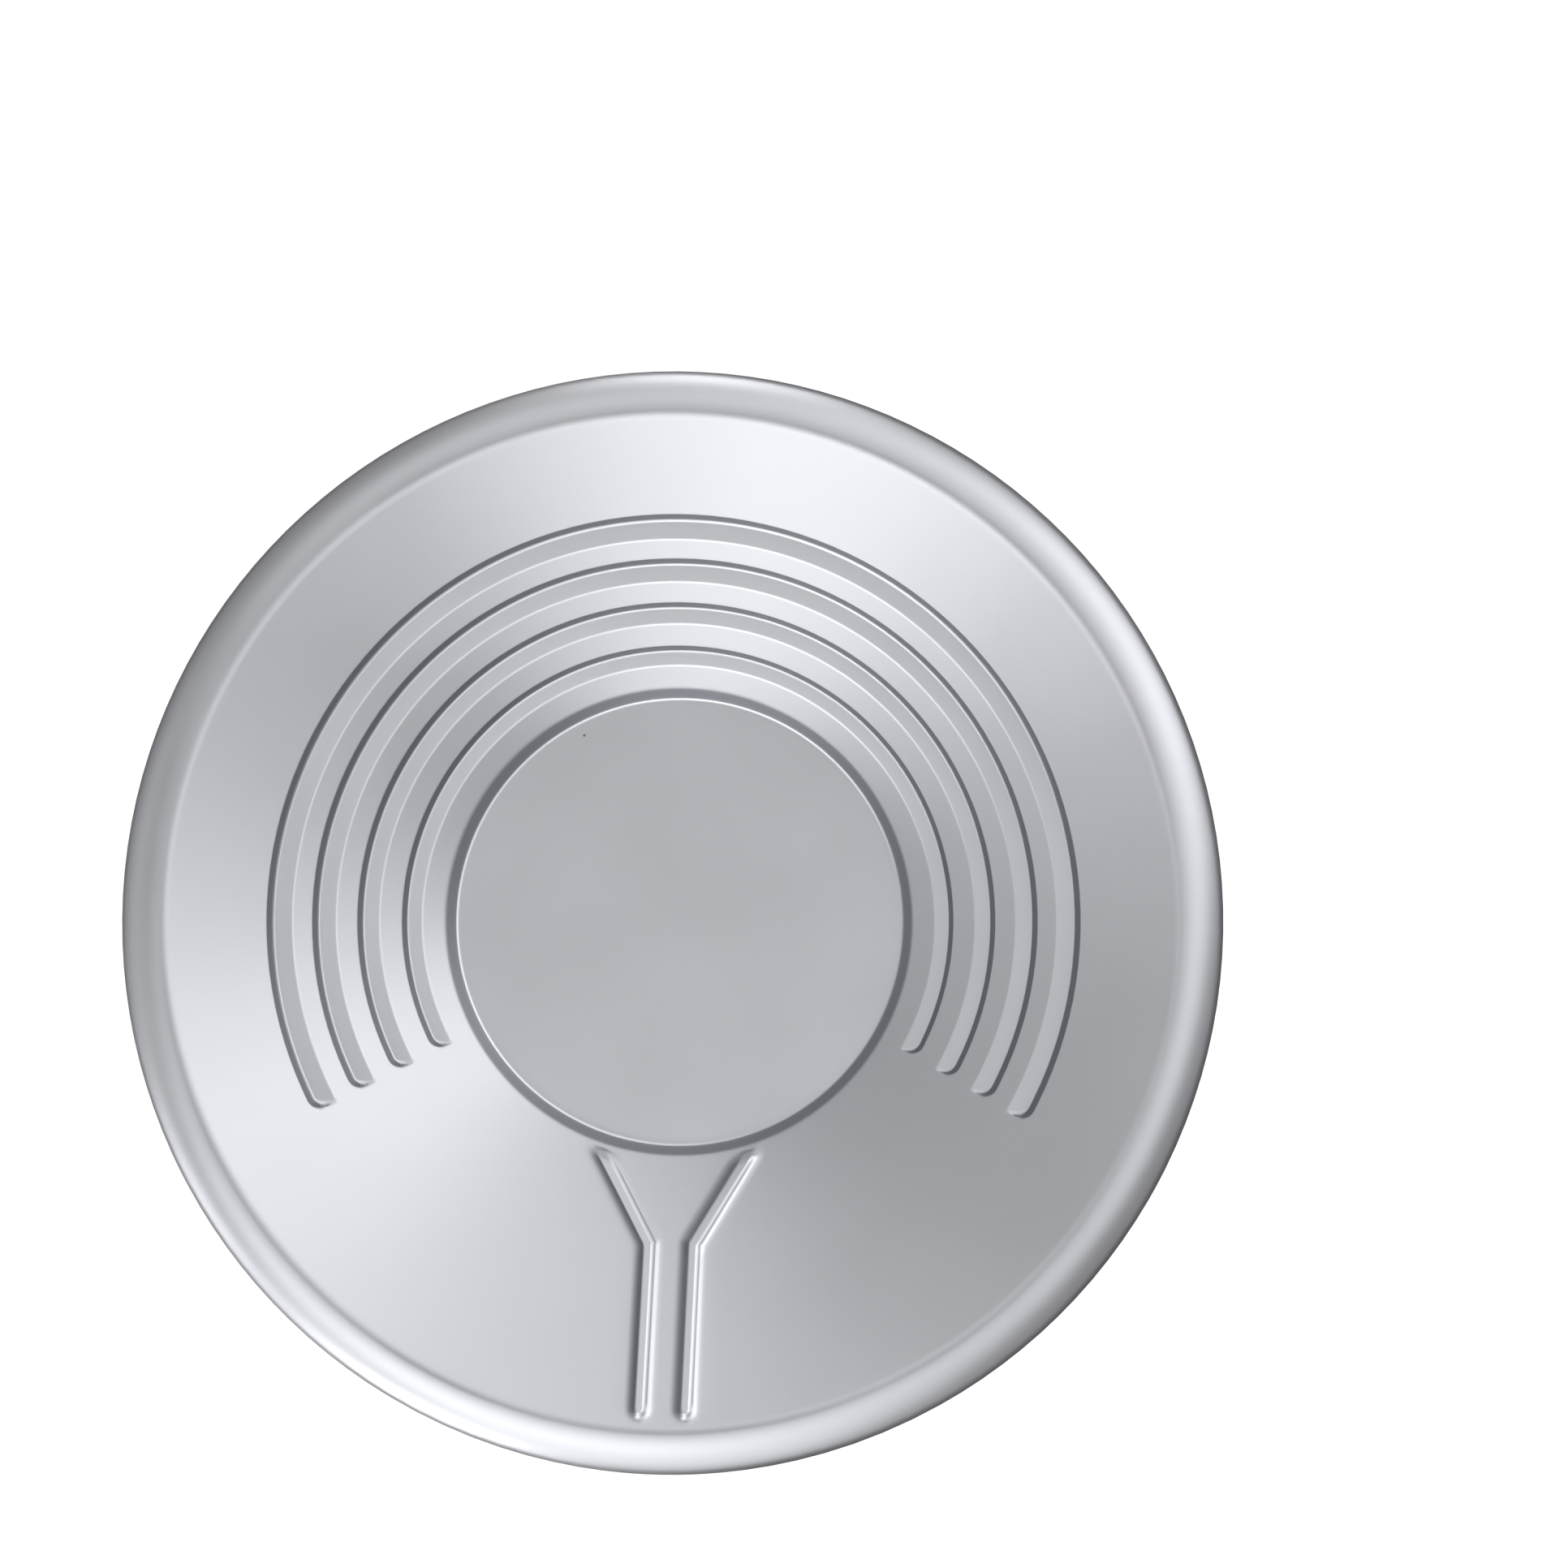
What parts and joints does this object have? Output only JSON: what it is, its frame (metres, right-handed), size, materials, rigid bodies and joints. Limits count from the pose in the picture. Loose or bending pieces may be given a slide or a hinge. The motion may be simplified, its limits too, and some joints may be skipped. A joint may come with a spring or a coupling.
{
  "type": "gold pan",
  "caption": "Round gold pan of thin satin sheet metal with trapping riffles round one side, a ribbed pouring funnel opposite and a rolled rim closed over a wire.",
  "frame": {"origin": "centre of the flat base's underside", "axes": "+Z out of the bowl, +Y towards the middle of the riffles, -Y towards the pouring funnel, +X to the right when looking down into the pan with the riffles at the top"},
  "size_m": [0.3556, 0.3556, 0.0568],
  "materials": {
    "pan_sheet": "satin, fine-grained, lightly worn",
    "hem_wire": "drawn galvanised wire, dull grey"
  },
  "bodies": {
    "root": {"pan_shell": "pan_sheet", "rim_wire": "hem_wire"}
  },
  "joints": []
}
